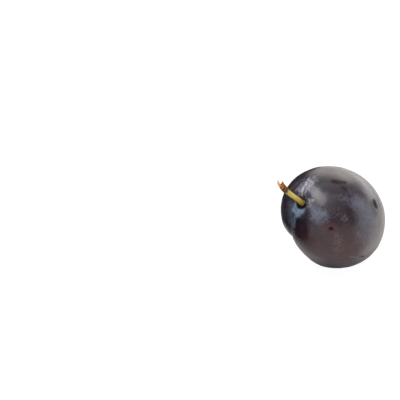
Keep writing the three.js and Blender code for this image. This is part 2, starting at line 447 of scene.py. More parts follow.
pick(fruit, points(fruit)[:, 2] < FLAT_SPOT_PICK * MM)
bpy.ops.transform.resize(value=(1, 1, 0), center_override=(0, 0, 0))
pick(fruit, np.ones(len(fruit.data.vertices), bool))
bpy.ops.mesh.normals_make_consistent(inside=False)
alone(fruit)
bpy.ops.object.shade_smooth()
fruit.vertex_groups.clear()
tree = skin_tree()

# %% [markdown]
# The stalk is a short woody rod. A curve with a round profile would make one too, but its thickness
# changes along its length, so it is drawn out ring by ring. Its line leaves the pit square to the floor
# and bends at the knuckle, the corky end that once sat on the twig. Its shape is kept in the fruit's
# upright frame, in mm, and laid down with the fruit's matrix.

# %% The stalk's rod
STALK_CLEARANCE = 0.3
STALK_FOOT = Vector((1.0, 0.2, STALK_END - FUNNEL_DEPTH - PIT_DEPTH + STALK_CLEARANCE))
STALK_LINE = [
    (0, 0, 0),
    (-0.05, 0, 1.5),
    (-0.5, -0.8, 7.1),
    (-0.75, -1.6, 12.4),
    (-1.2, -2, 15),
    (-2.1, -2.5, 17.8),
]
STALK_RINGS = 44
STALK_SIDES = 24
STALK_RADIUS = 1.12
FOOT_RADIUS = 1.25
FOOT_HEIGHT = 1.3
NECK_RADIUS = 1.02
NECK_MIDDLE = 7.3
NECK_SPREAD = 4
KNUCKLE_RADIUS = 1.3
KNUCKLE_START = 12.6
KNUCKLE_SWELL = 1.2
BEND_DEGREE = 3

line = np.array(STALK_LINE)
bend_x = np.polyfit(line[:, 2], line[:, 0], BEND_DEGREE)
bend_y = np.polyfit(line[:, 2], line[:, 1], BEND_DEGREE)


def stalk_point(height):
    """The middle of the stalk at a height over its foot, in mm."""
    return STALK_FOOT + Vector((np.polyval(bend_x, height), np.polyval(bend_y, height), height))


def stalk_radius(height):
    """The stalk's half thickness: a wide foot, a slim neck and the knuckle."""
    swell = min(max((height - KNUCKLE_START + KNUCKLE_SWELL) / KNUCKLE_SWELL, 0), 1)
    radius = STALK_RADIUS + (FOOT_RADIUS - STALK_RADIUS) * bump(height, FOOT_HEIGHT)
    radius += (NECK_RADIUS - STALK_RADIUS) * bump(height - NECK_MIDDLE, NECK_SPREAD)
    return radius + (KNUCKLE_RADIUS - STALK_RADIUS) * swell * swell * (3 - 2 * swell)


def draw_out(name, stations, sides):
    """A closed rod through stations, each a middle and a radius in mm. Its rings stand square to its way."""
    alone(fruit)
    bpy.ops.object.select_all(action="DESELECT")
    bpy.ops.mesh.primitive_circle_add(vertices=sides, radius=stations[0][1] * MM, fill_type="NGON")
    rod = bpy.context.object
    rod.name = name
    bpy.ops.object.mode_set(mode="EDIT")
    bpy.ops.transform.translate(value=stations[0][0] * MM)
    lean_x, lean_y = 0.0, 0.0
    for (before, last_radius), (middle, radius) in zip(stations, stations[1:]):
        way = (middle - before).normalized()
        new_x, new_y = math.atan2(-way.y, way.z), math.atan2(way.x, way.z)
        bpy.ops.mesh.extrude_region_move(TRANSFORM_OT_translate={"value": (middle - before) * MM})
        centre = middle * MM
        growth = radius / last_radius
        bpy.ops.transform.resize(value=(growth, growth, growth), center_override=centre)
        bpy.ops.transform.rotate(value=lean_x - new_x, orient_axis="X", center_override=centre)
        bpy.ops.transform.rotate(value=lean_y - new_y, orient_axis="Y", center_override=centre)
        lean_x, lean_y = new_x, new_y
    bpy.ops.mesh.select_all(action="SELECT")
    bpy.ops.mesh.normals_make_consistent(inside=False)
    leave_edit_mode()
    return rod


stalk_height = line[-1, 2]
heights = np.linspace(0, stalk_height, STALK_RINGS)
stalk = draw_out("plum_stalk", [(stalk_point(h), stalk_radius(h)) for h in heights], STALK_SIDES)
print("the stalk is", stalk_height, "mm high and has", len(stalk.data.vertices), "points")

# %% [markdown]
# Shallow flutes run up a dried stalk, so every fourth column of points is drawn in a little. The
# knuckle was torn off its twig at a slant. A slanted plane takes the end away, and its fill closes the
# tear.

# %% Flutes and the torn end
FLUTES = 6
FLUTE_DEPTH = 0.09
BREAK_SLANT = math.radians(58)
END_PIECE = 0.5

rod = points(stalk) / MM
axis = np.array([stalk_point(h) for h in np.clip(rod[:, 2] - STALK_FOOT.z, 0, stalk_height)])
turned = np.degrees(np.arctan2(rod[:, 1] - axis[:, 1], rod[:, 0] - axis[:, 0]))
column = np.round(turned * STALK_SIDES / 360)
pick(stalk, (column % (STALK_SIDES // FLUTES)) == 0)
bpy.ops.transform.shrink_fatten(value=-FLUTE_DEPTH * MM)

end = stalk_point(stalk_height)
forward = (end - stalk_point(stalk_height - END_PIECE)).normalized()
groove_side = Vector((1, 0, 0))
groove_side = (groove_side - forward * groove_side.dot(forward)).normalized()
break_normal = forward * math.cos(BREAK_SLANT) + groove_side * math.sin(BREAK_SLANT)
break_point = end - forward * KNUCKLE_RADIUS * math.tan(BREAK_SLANT)
pick(stalk, np.ones(len(stalk.data.vertices), bool))
bpy.ops.mesh.bisect(
    plane_co=break_point * MM, plane_no=break_normal, use_fill=True, clear_outer=True
)
leave_edit_mode()
print("after the tear the stalk has", len(stalk.data.polygons), "faces")

# %% [markdown]
# The strip of bark is a second, thin rod that starts inside the knuckle and curls over the tear. The two
# are joined and remeshed as one skin of small even faces, which have room for cork and fibres. Crumbs
# that the tear leaves beside that skin are found by what isn't linked to the foot, and taken off.

# %% The strip of bark, and one skin over both
SLIVER_RADIUS = 0.62
SLIVER_ROOT = 13.4
SLIVER_REACH = 1.7
SLIVER_TIP_SHARE = 0.45
SLIVER_SIDES = 12
SLIVER_RINGS = 14
STALK_FACE = 0.085

root = stalk_point(SLIVER_ROOT) + groove_side * (KNUCKLE_RADIUS - SLIVER_RADIUS)
side = end + groove_side * (KNUCKLE_RADIUS - SLIVER_RADIUS)
tip = end + forward * SLIVER_REACH
bend = side * 2 - (root + tip) / 2
stations = []
for share in np.linspace(0, 1, SLIVER_RINGS):
    middle = root * (1 - share) ** 2 + bend * 2 * share * (1 - share) + tip * share**2
    stations.append((middle, SLIVER_RADIUS * (1 - (1 - SLIVER_TIP_SHARE) * share**2)))
sliver = draw_out("bark_strip", stations, SLIVER_SIDES)
alone(stalk)
sliver.select_set(True)
bpy.ops.object.join()
finish_with(stalk, "REMESH", mode="VOXEL", voxel_size=STALK_FACE * MM, adaptivity=0)
remeshed = points(stalk)
pick(stalk, remeshed[:, 2] == remeshed[:, 2].min())
bpy.ops.mesh.select_linked()
bpy.ops.mesh.select_all(action="INVERT")
bpy.ops.mesh.delete(type="VERT")
bpy.ops.mesh.select_all(action="SELECT")
bpy.ops.mesh.vertices_smooth(factor=0.5, repeat=2)
leave_edit_mode()
print("crumbs taken off the tear:", len(remeshed) - len(stalk.data.vertices), "points")

# %% [markdown]
# Cork is lumpy and a tear is fibrous, both too irregular to model by hand. So Displace raises them with
# cloud textures, and two vertex groups say where: one over the knuckle, one along the tear.

# %% Cork and fibres
CORK_SIZE = 0.55
CORK_HEIGHT = 0.26
CORK_FADE = (-0.9, 0.3)
CORK_PAST_TEAR = 1.2
FIBRE_SIZE = 0.22
FIBRE_HEIGHT = 0.3
TEAR_REACH = 0.25

bark = points(stalk) / MM
over_break = (bark - np.array(break_point)) @ np.array(break_normal)
up_the_knuckle = bark[:, 2] - STALK_FOOT.z - KNUCKLE_START
cork_share = np.clip((up_the_knuckle - CORK_FADE[0]) / (CORK_FADE[1] - CORK_FADE[0]), 0, 1)
cork_share *= np.clip(CORK_PAST_TEAR - over_break, 0, 1)
tear_share = np.clip(1 - np.abs(over_break) / TEAR_REACH, 0, 1)
share_out(stalk, "cork", cork_share)
share_out(stalk, "tear", tear_share)
raise_clouds(stalk, "cork", CORK_SIZE, CORK_HEIGHT)
raise_clouds(stalk, "tear", FIBRE_SIZE, FIBRE_HEIGHT)
stalk.vertex_groups.clear()
lay_down(stalk)
bpy.ops.object.shade_smooth()
print("the finished stalk has", len(stalk.data.polygons), "faces")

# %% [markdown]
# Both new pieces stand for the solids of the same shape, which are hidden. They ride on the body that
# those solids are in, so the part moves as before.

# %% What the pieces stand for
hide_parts("fruit")
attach(fruit, "root")
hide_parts("stalk")
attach(stalk, "root")
print(fruit.name, "and", stalk.name, "stand for their solids")

# %% [markdown]
# Two effects come back again and again. The first is a stroke: a soft band between two points, wide or
# narrow, for patches of bloom, rubbed places, smears and dots. The second is a set of fine lines that run
# one way, for scratches on the skin and fibres in the wood. Each is a node group that is built once, and
# a small class shortens the calls that place its nodes.

# %% Node helpers


class Sheet:
    """A node tree that is filled in by short calls."""

    def __init__(self, tree):
        self.tree = tree

    def node(self, kind, **settings):
        made = self.tree.nodes.new(kind)
        for name, value in settings.items():
            setattr(made, name, value)
        return made

    def feed(self, socket, value):
        """Links a socket to another, or sets its plain value."""
        if isinstance(value, bpy.types.NodeSocket):
            self.tree.links.new(value, socket)
        else:
            socket.default_value = value

    def math(self, operation, first, second=0.0, third=0.0):
        made = self.node("ShaderNodeMath", operation=operation)
        for socket, value in zip(made.inputs, (first, second, third)):
            self.feed(socket, value)
        return made.outputs[0]

    def times(self, first, second):
        return self.math("MULTIPLY", first, second)

    def plus(self, first, second):
        return self.math("ADD", first, second)

    def most(self, first, second):
        return self.math("MAXIMUM", first, second)

    def left_by(self, share):
        """What a share from 0 to 1 leaves of the whole."""
        return self.math("SUBTRACT", 1.0, share)

    def vector(self, operation, first, second=(0, 0, 0)):
        made = self.node("ShaderNodeVectorMath", operation=operation)
        self.feed(made.inputs[0], first)
        self.feed(made.inputs[1], second)
        return made.outputs["Value" if operation in ("DOT_PRODUCT", "LENGTH", "DISTANCE") else "Vector"]

    def dot(self, first, second):
        return self.vector("DOT_PRODUCT", first, second)

    def scaled(self, vector, factor):
        made = self.node("ShaderNodeVectorMath", operation="SCALE")
        self.feed(made.inputs[0], vector)
        self.feed(made.inputs["Scale"], factor)
        return made.outputs[0]

    def noise(self, place, scale, detail=3.0, roughness=0.5, distortion=0.0):
        made = self.node("ShaderNodeTexNoise")
        names = ("Vector", "Scale", "Detail", "Roughness", "Distortion")
        for name, value in zip(names, (place, scale, detail, roughness, distortion)):
            self.feed(made.inputs[name], value)
        return made.outputs["Fac"]

    def spread(self, value, low, high, to_low=0.0, to_high=1.0):
        """Maps a range smoothly to another, and holds it there past both ends."""
        made = self.node("ShaderNodeMapRange", interpolation_type="SMOOTHSTEP")
        names = ("Value", "From Min", "From Max", "To Min", "To Max")
        for name, number in zip(names, (value, low, high, to_low, to_high)):
            self.feed(made.inputs[name], number)
        return made.outputs["Result"]

    def blend(self, share, first, second):
        """One colour over another, by a share from 0 to 1."""
        made = self.node("ShaderNodeMix", data_type="RGBA")
        self.feed(made.inputs[0], share)
        self.feed(made.inputs[6], first)
        self.feed(made.inputs[7], second)
        return made.outputs[2]


def new_group(name, vectors, numbers):
    """An empty node group that is given vectors and numbers, and puts out a mask."""
    group = bpy.data.node_groups.new(name, "ShaderNodeTree")
    for kind, sockets in (("Vector", vectors), ("Float", numbers)):
        for socket in sockets:
            group.interface.new_socket(socket, in_out="INPUT", socket_type="NodeSocket" + kind)
    group.interface.new_socket("Mask", in_out="OUTPUT", socket_type="NodeSocketFloat")
    return group, Sheet(group)


# %% The stroke
SMALLEST_SQUARE = 1e-12

stroke_group, sheet = new_group("Stroke", ("Place", "From", "To"), ("Width", "Softness", "Wobble"))
given = sheet.node("NodeGroupInput").outputs
along = sheet.vector("SUBTRACT", given["To"], given["From"])
offset = sheet.vector("SUBTRACT", given["Place"], given["From"])
length_squared = sheet.most(sheet.dot(along, along), SMALLEST_SQUARE)
share = sheet.math("DIVIDE", sheet.dot(offset, along), length_squared)
share = sheet.math("MINIMUM", sheet.most(share, 0.0), 1.0)
nearest = sheet.scaled(along, share)
distance = sheet.vector("LENGTH", sheet.vector("SUBTRACT", offset, nearest))
distance = sheet.plus(distance, given["Wobble"])
inner = sheet.times(given["Width"], sheet.left_by(given["Softness"]))
outer = sheet.times(given["Width"], sheet.plus(1.0, given["Softness"]))
mask = sheet.spread(distance, inner, outer, 1.0, 0.0)
sheet.feed(sheet.node("NodeGroupOutput").inputs["Mask"], mask)
print("the stroke has", len(stroke_group.nodes), "nodes")

# %% The fine lines
LINE_DETAIL = 2.0
LINE_WIDTH = 0.05

line_group, sheet = new_group("Fine lines", ("Place", "Along"), ("Stretch", "Scale", "Amount"))
given = sheet.node("NodeGroupInput").outputs
way = sheet.vector("NORMALIZE", given["Along"])
along_part = sheet.scaled(way, sheet.dot(given["Place"], way))
across_part = sheet.vector("SUBTRACT", given["Place"], along_part)
squeezed_part = sheet.scaled(along_part, sheet.math("DIVIDE", 1.0, given["Stretch"]))
squeezed = sheet.vector("ADD", across_part, squeezed_part)
cloud = sheet.node("ShaderNodeTexNoise", noise_type="FBM")
sheet.feed(cloud.inputs["Vector"], squeezed)
sheet.feed(cloud.inputs["Scale"], given["Scale"])
cloud.inputs["Detail"].default_value = LINE_DETAIL
ridge = sheet.math("ABSOLUTE", sheet.math("SUBTRACT", cloud.outputs["Fac"], 0.5))
thin = sheet.times(given["Amount"], LINE_WIDTH)
mask = sheet.spread(ridge, 0.0, thin, 1.0, 0.0)
sheet.feed(sheet.node("NodeGroupOutput").inputs["Mask"], mask)
print("the fine lines have", len(line_group.nodes), "nodes")

# %% [markdown]
# The skin is nearly black where it is bare, with a maroon cast where the flesh is ripest. Over it lies
# the bloom, a blue-grey wax that scatters light. It is thick in the groove and round the hollow, where no
# finger reaches, and rubbed thin on the cheek. A film of dust greys the top and the right cheek; along the
# top and down the right edge it is also painted sheen, which stands for the bright room mirrored where
# the skin turns away. Small marks come last: scratches, a dried dark smear, the sting's hole, pale flecks
# and scars, and a painted glint at the knock's edge. Painted shade darkens the pit round the stalk, the
# knock and the patch below it. An image of all that would lock the skin to one view, so the places are
# strokes between points on the skin.

# %% Where the bloom and the marks lie
# Each stroke: two pixels of the photograph, half width in mm, softness, and strength.
BLOOM_STROKES = {
    "groove_band_upper": ((296, 210), (293.5, 222), 2.2, 0.6, 0.25),
    "groove_band_lower": ((293.5, 222), (293.5, 233), 1.6, 0.7, 0.22),
    "streaks_above_the_stalk": ((303, 187), (310.5, 181.5), 2.1, 0.8, 1.0),
    "band_below_the_hollow": ((312, 213), (322, 217.5), 2.9, 0.8, 0.85),
    "band_below_the_hollow_end": ((322, 207), (328, 213), 2.6, 0.8, 0.2),
    "under_the_smear": ((332, 200.5), (351, 200), 2.6, 0.9, 0.22),
    "arc_upper": ((350, 199), (360, 203), 3.0, 0.9, 0.26),
    "arc_middle": ((360, 205), (368, 216), 3.4, 0.9, 0.38),
    "arc_lower": ((369, 217), (371, 236), 3.6, 0.9, 0.62),
    "inside_the_arc": ((361, 224), (364, 238), 2.0, 0.9, 0.16),
    "left_edge": ((288, 203), (286, 216), 1.8, 0.8, 0.12),
    "shoulder_of_the_arc": ((356.5, 186.5), (361, 191), 1.1, 0.8, 0.3),
    "round_the_highlight": ((311, 190), (320, 197), 2.0, 0.8, 0.25),
}
SCRATCHED_STROKES = {
    "up_from_the_stalk": ((302.5, 189.5), (310.5, 180), 2.3, 0.8, 1.0),
    "right_of_the_stalk": ((305, 198.5), (310, 202), 1.4, 0.8, 0.7),
    "low_on_the_cheek": ((338, 213), (346, 219), 1.8, 0.9, 0.14),
    "rub_marks": ((337, 238), (339, 249), 2.0, 0.9, 0.12),
}
PALE_STROKES = {
    "under_the_stalk": ((301.6, 210.6), (298.3, 213.8), 1.3, 0.7, 0.95),
    "left_of_it": ((293.5, 209.5), (297, 212.5), 0.9, 0.9, 0.65),
    "down_the_groove": ((296.6, 214), (294, 226), 0.6, 0.9, 0.5),
    "left_rim_of_the_pit": ((295.4, 204.5), (294, 211), 0.7, 0.9, 0.55),
    "left_of_the_groove": ((291.5, 206), (291, 222), 1.5, 0.9, 0.24),
}
# Dust and painted sheen: the strokes along the top and down the right side also stand for the bright room
# mirrored where the skin turns away.
DUST_AND_SHEEN_STROKES = {
    "top": ((323, 170.6), (342, 173.8), 4.8, 0.85, 0.62),
    "under_the_top": ((324, 183), (350, 186), 3.0, 0.9, 0.06),
    "round_the_highlight": ((311, 188), (318, 196), 3.0, 0.9, 0.08),
    "top_right": ((350, 176), (372, 192), 4.0, 0.9, 0.24),
    "right_cheek": ((380, 222), (374, 246), 5.4, 0.95, 0.58),
    "dust_and_rim_sheen_right": ((385, 214), (385, 238), 4.4, 0.95, 1.0),
    "lower_right": ((366, 254), (373, 247), 4.0, 0.9, 0.26),
    "lower_cheek": ((330, 240), (345, 258), 6.0, 0.9, 0.03),
    "inside_the_arc": ((358, 228), (362, 238), 2.4, 0.9, 0.1),
}
BARE_STROKES = {
    "dark_patch_by_the_groove": ((298, 221), (297.5, 234), 1.3, 0.5, 1.0),
    "dark_corner_by_the_groove": ((305, 215), (307, 228), 1.9, 0.8, 0.9),
    "cheek_middle": ((337, 208), (343, 232), 5.0, 0.7, 0.6),
    "inside_the_arc": ((350, 212), (351, 224), 1.8, 0.8, 0.7),
    "under_the_smear": ((331, 188), (346, 191), 2.2, 0.9, 0.8),
    "dark_arc_under_the_top": ((352, 186), (366, 197), 2.0, 0.9, 0.5),
    "upper_left": ((291, 186), (302, 174), 2.4, 0.8, 1.0),
    "left_side": ((287, 196), (285, 224), 3.0, 0.9, 0.5),
    "round_the_sting": ((326, 227.5), (334, 228), 1.7, 0.9, 0.7),
    "lower_cheek": ((320, 242), (346, 243), 4.5, 0.9, 0.4),
}
WET_STROKES = {
    "knock": ((374, 200.6), (376, 206), 1.6, 0.5, 1.0),
    "below_the_knock": ((372, 204), (374, 210), 2.4, 0.9, 0.8),
    "pit": ((299, 206), (304, 202), 1.8, 0.6, 0.95),
}
# The sting's own dark hole, and painted shade: near black in the pit round the stalk, in the knocked dent
# and on the patch below it.
SHADED_HOLE_STROKES = {
    "sting": ((330.4, 228.2), (331.8, 228.6), 0.75, 0.4, 1.0),
    "sting_tail": ((328.6, 229.6), (330.6, 228.8), 0.3, 0.6, 0.6),
    "knock": ((373.8, 202.4), (376, 206.2), 1.5, 0.7, 0.72),
    "below_the_knock": ((371.8, 204.5), (374, 209.5), 2.3, 0.9, 0.5),
    "pit": ((299.5, 205.5), (303.5, 202), 1.8, 0.7, 0.6),
}
SMEAR_STROKES = {
    "left_end": ((333.5, 181.4), (338.5, 182.6), 1.2, 0.5, 1.0),
    "right_end": ((338.5, 182.4), (345, 182.8), 0.9, 0.6, 1.0),
    "drop": ((342.4, 187), (345, 189.6), 0.8, 0.7, 1.0),
    "scar_below": ((361.6, 256.2), (363.4, 256.8), 0.6, 0.7, 0.8),
}
# Pale scars and flecks, and one painted glint: the pale crescent at the knock's edge stands for the light
# that the wet dent catches.
SCAR_AND_GLINT_STROKES = {
    "painted_glint_at_the_knock_edge": ((377.2, 203), (378.2, 207.4), 0.6, 0.9, 0.4),
    "fleck_on_the_cheek": ((345, 216.5), (347, 220), 0.4, 0.9, 0.08),
    "fleck_in_the_arc": ((358, 233), (360, 236), 0.6, 0.9, 0.06),
    "fleck_on_the_lower_cheek": ((336, 240), (339, 243), 0.5, 0.9, 0.04),
    "beside_the_scar_below": ((351, 257), (357, 257.4), 0.6, 0.9, 0.08),
}
MAROON_STROKES = {
    "cheek": ((336, 212), (346, 230), 6.0, 0.8, 0.25),
    "lower_cheek": ((318, 248), (358, 250), 9.0, 0.8, 0.84),
    "halo_of_the_sting": ((326, 227), (333, 228), 1.6, 0.9, 2.0),
    "scar_below": ((360.8, 257), (361.8, 257.4), 0.9, 0.6, 1.0),
}


bloom_count = len(BLOOM_STROKES) + len(PALE_STROKES) + len(DUST_AND_SHEEN_STROKES)
print("strokes of bloom, wax and dust:", bloom_count)

# %% [markdown]
# Both materials begin alike: an empty sheet, a Principled shader, and the piece's own coordinates, so
# that the marks keep their places when the part moves. The next cell also places a node group, adds up a
# table of strokes and makes a bump from a height.

# %% Material helpers


def new_material(name):
    """A material with an empty sheet, its Principled shader and the piece's own coordinates."""
    material = bpy.data.materials.new(name)
    material.use_nodes = True
    material.node_tree.nodes.clear()
    sheet = Sheet(material.node_tree)
    shader = sheet.node("ShaderNodeBsdfPrincipled")
    output = sheet.node("ShaderNodeOutputMaterial")
    sheet.feed(output.inputs["Surface"], shader.outputs[0])
    place = sheet.node("ShaderNodeTexCoord").outputs["Object"]
    return material, sheet, shader, place


def grouped(sheet, group, **values):
    """Places a node group with its inputs, and gives back its first output."""
    made = sheet.node("ShaderNodeGroup")
    made.node_tree = group
    for name, value in values.items():
        sheet.feed(made.inputs[name], value)
    return made.outputs[0]


def relieve(sheet, shader, height, strength):
    """Gives a shader a fine relief from a height in metres."""
    raised = sheet.node("ShaderNodeBump")
    sheet.feed(raised.inputs["Height"], height)
    sheet.feed(raised.inputs["Strength"], strength)
    sheet.feed(raised.inputs["Distance"], 1.0)
    sheet.feed(shader.inputs["Normal"], raised.outputs["Normal"])


def strokes(sheet, place, wobble, table):
    """The sum of a table's strokes, each times its strength."""
    total = 0.0
    for start, stop, width, softness, strength in table.values():
        mask = grouped(
            sheet,
            stroke_group,
            Place=place,
            From=on_skin(start),
            To=on_skin(stop),
            Width=width * MM,
            Softness=softness,
            Wobble=wobble,
        )
        total = sheet.math("MULTIPLY_ADD", mask, strength, total)
    return total


# %% [markdown]
# The shader follows the order in which things lie on the fruit. First come the noises that break up
# every edge, from broad patches to fine grain, and with them the masks of all the strokes. In the tables
# of ranges, each row is the noise from and to, and what it becomes at both ends.

# %% The skin's noises and masks
PATCH_SCALE = 110
MOTTLE_SCALE = 330
GRAIN_SCALE = 1300
EDGE_WOBBLE = 6 * MM
FINE_EDGE_WOBBLE = 0.5 * MM
RAGGED_COARSE_SHARE = 0.25
RAGGED_FINE_SHARE = 2.0
PALE_GRAIN = (0.3, 0.55, 0.6, 1.0)
SMEAR_GRAIN = (0.3, 0.5, 0.7, 1.0)

skin_material, sheet, skin_shader, place = new_material("plum_skin")
patches = sheet.noise(place, PATCH_SCALE, detail=3)
mottle = sheet.noise(place, MOTTLE_SCALE, detail=5, roughness=0.65, distortion=0.6)
grain = sheet.noise(place, GRAIN_SCALE, detail=3, roughness=0.6, distortion=0.4)
wobble = sheet.times(sheet.math("SUBTRACT", mottle, 0.5), EDGE_WOBBLE)
fine_wobble = sheet.times(sheet.math("SUBTRACT", grain, 0.5), FINE_EDGE_WOBBLE)
ragged_fine = sheet.times(fine_wobble, RAGGED_FINE_SHARE)
ragged = sheet.math("MULTIPLY_ADD", wobble, RAGGED_COARSE_SHARE, ragged_fine)


def marked(table, edge):
    """A table's strokes as one mask from 0 to 1, with their edges moved by a wobble."""
    return sheet.math("MINIMUM", strokes(sheet, place, edge, table), 1.0)


bared = marked(BARE_STROKES, wobble)
wet = marked(WET_STROKES, fine_wobble)
maroon = marked(MAROON_STROKES, wobble)
dust_and_sheen_marks = marked(DUST_AND_SHEEN_STROKES, wobble)
scratched = marked(SCRATCHED_STROKES, wobble)
scars_and_glint = marked(SCAR_AND_GLINT_STROKES, ragged)
shaded_holes = marked(SHADED_HOLE_STROKES, fine_wobble)
pale = sheet.times(marked(PALE_STROKES, ragged), sheet.spread(grain, *PALE_GRAIN))
smear = sheet.times(marked(SMEAR_STROKES, ragged), sheet.spread(mottle, *SMEAR_GRAIN))
print("the masks have", len(sheet.tree.nodes), "nodes")

# %% [markdown]
# One value holds the thickness of the bloom. It starts as a thin film with patches, thicker on the
# fruit's back, where it is untouched. Rubbed places take it away and the bloom's strokes add to it. Then
# mottle and grain break it up, as rubbing does, and single flecks of wax stay on the bare skin. A wet
# place has none.

# %% The thickness of the bloom
THIN_FILM = (0.35, 0.72, 0.02, 0.22)
BACK_OF_THE_FRUIT = (-0.66, -0.59, -0.47)
BACK_FADE = (-3 * MM, 7 * MM)
BACK_PATCHES = (0.42, 0.62, 0.05, 0.6)
FILM_MOTTLE = (0.36, 0.66, 0.3, 1.4)
STROKE_MOTTLE = (0.3, 0.7, 0.55, 1.3)
RUBBED_SCALE = 900
RUBBED_GRAIN = (0.34, 0.66, 0.6, 1.4)
FLECK_SCALE = 1500
FLECKS = (0.56, 0.68, 0.0, 1.0)
FLECK_STRENGTH = (0.42, 0.6, 0.03, 0.14)

unrubbed = sheet.left_by(bared)
from_centre = sheet.vector("SUBTRACT", place, fruit_centre)
at_the_back = sheet.spread(sheet.dot(from_centre, BACK_OF_THE_FRUIT), *BACK_FADE)
back_bloom = sheet.times(at_the_back, sheet.spread(patches, *BACK_PATCHES))
film = sheet.plus(sheet.spread(patches, *THIN_FILM), back_bloom)
film = sheet.times(film, unrubbed)
film = sheet.times(film, sheet.spread(mottle, *FILM_MOTTLE))
added = sheet.times(strokes(sheet, place, wobble, BLOOM_STROKES), unrubbed)
added = sheet.times(added, sheet.spread(mottle, *STROKE_MOTTLE))
thickness = sheet.plus(film, added)
rubbed = sheet.noise(place, RUBBED_SCALE, detail=4, roughness=0.6, distortion=0.8)
thickness = sheet.times(thickness, sheet.spread(rubbed, *RUBBED_GRAIN))
fleck_noise = sheet.noise(place, FLECK_SCALE, detail=2, distortion=0.5)
flecks = sheet.times(sheet.spread(fleck_noise, *FLECKS), sheet.spread(mottle, *FLECK_STRENGTH))
dry = sheet.left_by(wet)
thickness = sheet.times(sheet.plus(thickness, flecks), dry)
thickness = sheet.math("MINIMUM", sheet.most(thickness, 0.0), 1.0)
print("with the bloom there are", len(sheet.tree.nodes), "nodes")

# %% [markdown]
# Now colour is laid over colour: the bare skin, its bloom, the film of dust and painted sheen, the pale
# wax in the groove, scratches, the pores that every plum has, scars and the painted glint, the smear, and
# at last the holes and the painted shade in the pit and the knock, which are darkest.

# %% The skin's colours
NIGHT = (0.010, 0.008, 0.015, 1)
MAROON = (0.060, 0.016, 0.018, 1)
WAX = (0.100, 0.106, 0.150, 1)
PALE_WAX = (0.150, 0.225, 0.310, 1)
DUST_AND_SHEEN = (0.270, 0.250, 0.246, 1)
SCRATCH = (0.52, 0.52, 0.60, 1)
PORE = (0.12, 0.085, 0.065, 1)
SMEAR = (0.009, 0.0008, 0.0006, 1)
HOLE_SHADE = (0.004, 0.002, 0.0015, 1)
RIPE_PATCHES = (0.45, 0.7, 0.0, 0.35)
RIPE_GRAIN = (0.3, 0.7, 0.55, 1.1)
DUST_AND_SHEEN_MOTTLE = (0.3, 0.7, 0.68, 1.14)
PORE_SCALE = 520
PORES = (0.05, 0.13, 0.4, 0.0)
SCRATCH_STRENGTH = 0.8
# The pixels that the scratches run between: up from the stalk, and across beside it.
UP_SCRATCHES = ((302, 195), (312, 178))
CROSS_SCRATCHES = ((308, 199), (330, 204))


def way_between(pixels):
    """The direction on the skin from one pixel of the photograph to another."""
    return (on_skin(pixels[1]) - on_skin(pixels[0])).normalized()


ripeness = sheet.most(maroon, sheet.spread(patches, *RIPE_PATCHES))
ripeness = sheet.times(ripeness, sheet.spread(grain, *RIPE_GRAIN))
colour = sheet.blend(ripeness, NIGHT, MAROON)
colour = sheet.blend(thickness, colour, WAX)
# Dust, and painted sheen along the top and the right edge.
dust_and_sheen = sheet.times(sheet.times(dust_and_sheen_marks, sheet.spread(mottle, *DUST_AND_SHEEN_MOTTLE)), dry)
colour = sheet.blend(dust_and_sheen, colour, DUST_AND_SHEEN)
colour = sheet.blend(pale, colour, PALE_WAX)
up_way = way_between(UP_SCRATCHES)
cross_way = way_between(CROSS_SCRATCHES)
up_lines = grouped(
    sheet, line_group, Place=place, Along=up_way, Stretch=9.0, Scale=850.0, Amount=1.3
)
cross_lines = grouped(
    sheet, line_group, Place=place, Along=cross_way, Stretch=7.0, Scale=1200.0, Amount=0.5
)
scratches = sheet.most(up_lines, cross_lines)
scratches = sheet.times(sheet.times(scratches, scratched), SCRATCH_STRENGTH)
colour = sheet.blend(scratches, colour, SCRATCH)
cells = sheet.node("ShaderNodeTexVoronoi", feature="F1")
sheet.feed(cells.inputs["Vector"], place)
cells.inputs["Scale"].default_value = PORE_SCALE
colour = sheet.blend(sheet.spread(cells.outputs["Distance"], *PORES), colour, PORE)
# Pale scars, and the painted glint at the knock's edge, in the scratches' pale colour.
colour = sheet.blend(scars_and_glint, colour, SCRATCH)
colour = sheet.blend(smear, colour, SMEAR)
# Holes and painted shade: the darkest colour, in the sting, the pit, the knock and below it.
colour = sheet.blend(shaded_holes, colour, HOLE_SHADE)
sheet.feed(skin_shader.inputs["Base Color"], colour)
print("with the colours there are", len(sheet.tree.nodes), "nodes")

# %% [markdown]
# Bare skin shines like lacquer, and wax and the film of dust with its painted sheen dull it, so the
# roughness follows the thickest of the two. Holes, with their painted shade, and the dried smear don't
# shine at all. A bump gives the skin its faint orange peel, and a little sheen stands for the finest wax,
# which shows most where the skin turns away.

# %% The skin's gloss and relief
COATED_ROUGHNESS = (0.0, 0.8, 0.2, 0.5)
HOLE_ROUGHNESS = 0.9
SKIN_IOR = 1.45
SHEEN = 0.1
SHEEN_ROUGHNESS = 0.35
MOTTLE_RELIEF = 0.09 * MM
GRAIN_RELIEF = 0.035 * MM
HOLE_RELIEF = -0.1 * MM
RELIEF_STRENGTH = 0.6

dull = sheet.most(shaded_holes, smear)
coated = sheet.spread(sheet.most(thickness, dust_and_sheen), *COATED_ROUGHNESS)
roughness = sheet.most(coated, sheet.times(dull, HOLE_ROUGHNESS))
sheet.feed(skin_shader.inputs["Roughness"], roughness)
skin_shader.inputs["IOR"].default_value = SKIN_IOR
skin_shader.inputs["Sheen Weight"].default_value = SHEEN
skin_shader.inputs["Sheen Roughness"].default_value = SHEEN_ROUGHNESS
relief = sheet.math("MULTIPLY_ADD", mottle, MOTTLE_RELIEF, sheet.times(grain, GRAIN_RELIEF))
relief = sheet.math("MULTIPLY_ADD", dull, HOLE_RELIEF, relief)
relieve(sheet, skin_shader, relief, RELIEF_STRENGTH)
fruit.data.materials.clear()
fruit.data.materials.append(skin_material)
print("the skin's material has", len(sheet.tree.nodes), "nodes")

